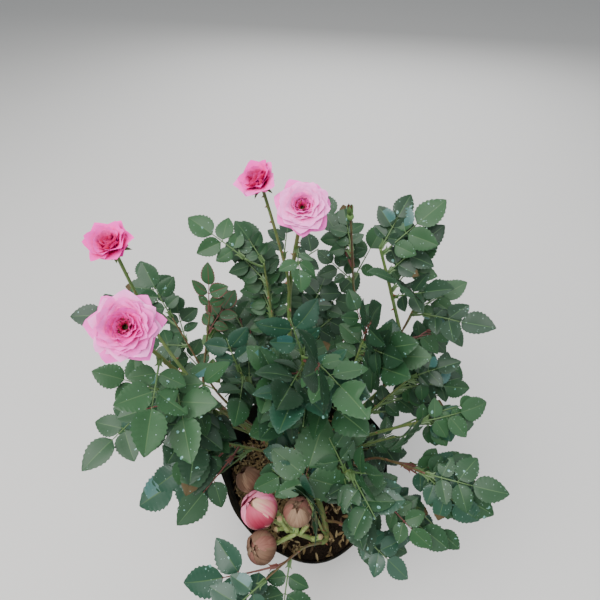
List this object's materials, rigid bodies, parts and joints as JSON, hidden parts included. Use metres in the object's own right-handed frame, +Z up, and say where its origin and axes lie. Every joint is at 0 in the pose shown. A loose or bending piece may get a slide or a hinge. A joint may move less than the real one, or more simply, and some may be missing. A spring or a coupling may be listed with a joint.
{
  "type": "miniature rose bush in a nursery bag",
  "caption": "Miniature rose bush with double pink blooms, growing in a soft black nursery bag of potting mix.",
  "frame": {"origin": "middle of the bag's flat underside, where the bag's axis meets the ground", "axes": "+Z up along the bag's axis, -Y towards the side that the bush turns to the light, +X to the right seen from there"},
  "size_m": [0.3119, 0.289, 0.4347],
  "materials": {
    "bag_film": "soft black polythene film, creased, slightly glossy",
    "potting_mix": "damp potting mix under golden brown rice husks",
    "old_bark": "rough grey-brown bark",
    "cane_bark": "smooth green to red-brown rose cane with thorns",
    "leaves": "dark green leaves with a soft sheen and pale water marks",
    "petals": "soft pink petals, deeper towards the middle",
    "spent_heads": "brown papery spent petals"
  },
  "bodies": {
    "root": {"bag": "bag_film", "potting_mix": "potting_mix", "short_stem": "old_bark", "cane_left_low_bloom": "cane_bark", "shoot_left_low_bloom": "petals", "cane_left_high_bloom": "cane_bark", "shoot_left_high_bloom": "petals", "cane_middle_bloom": "cane_bark", "shoot_middle_bloom": "petals", "cane_back_bloom": "cane_bark", "shoot_back_bloom": "petals", "cane_slender_right": "cane_bark", "shoot_slender_right": "leaves", "cane_tall_right": "cane_bark", "shoot_tall_right": "leaves", "cane_right_upper": "cane_bark", "shoot_right_upper": "leaves", "cane_red_left": "cane_bark", "shoot_red_left": "leaves", "cane_far_left": "cane_bark", "shoot_far_left": "leaves", "cane_left_low": "cane_bark", "shoot_left_low": "leaves", "cane_left_middle": "cane_bark", "shoot_left_middle": "leaves", "cane_left_front": "cane_bark", "shoot_left_front": "leaves", "cane_middle_left": "cane_bark", "shoot_middle_left": "leaves", "cane_middle_back": "cane_bark", "shoot_middle_back": "leaves", "cane_middle": "cane_bark", "shoot_middle": "leaves", "cane_middle_right": "cane_bark", "shoot_middle_right": "leaves", "cane_right_back": "cane_bark", "shoot_right_back": "leaves", "cane_right": "cane_bark", "shoot_right": "leaves", "cane_far_right": "cane_bark", "shoot_far_right": "leaves", "cane_right_front": "cane_bark", "shoot_right_front": "leaves", "cane_front_right": "cane_bark", "shoot_front_right": "leaves", "cane_centre_front": "cane_bark", "shoot_centre_front": "leaves", "cane_middle_front": "cane_bark", "shoot_middle_front": "leaves", "cane_front": "cane_bark", "shoot_front": "leaves", "cane_front_left": "cane_bark", "shoot_front_left": "leaves", "cane_pruned_front": "cane_bark", "shoot_pruned_front": "spent_heads", "cane_back": "cane_bark", "shoot_back": "leaves", "cane_back_left": "cane_bark", "shoot_back_left": "leaves"}
  },
  "joints": []
}
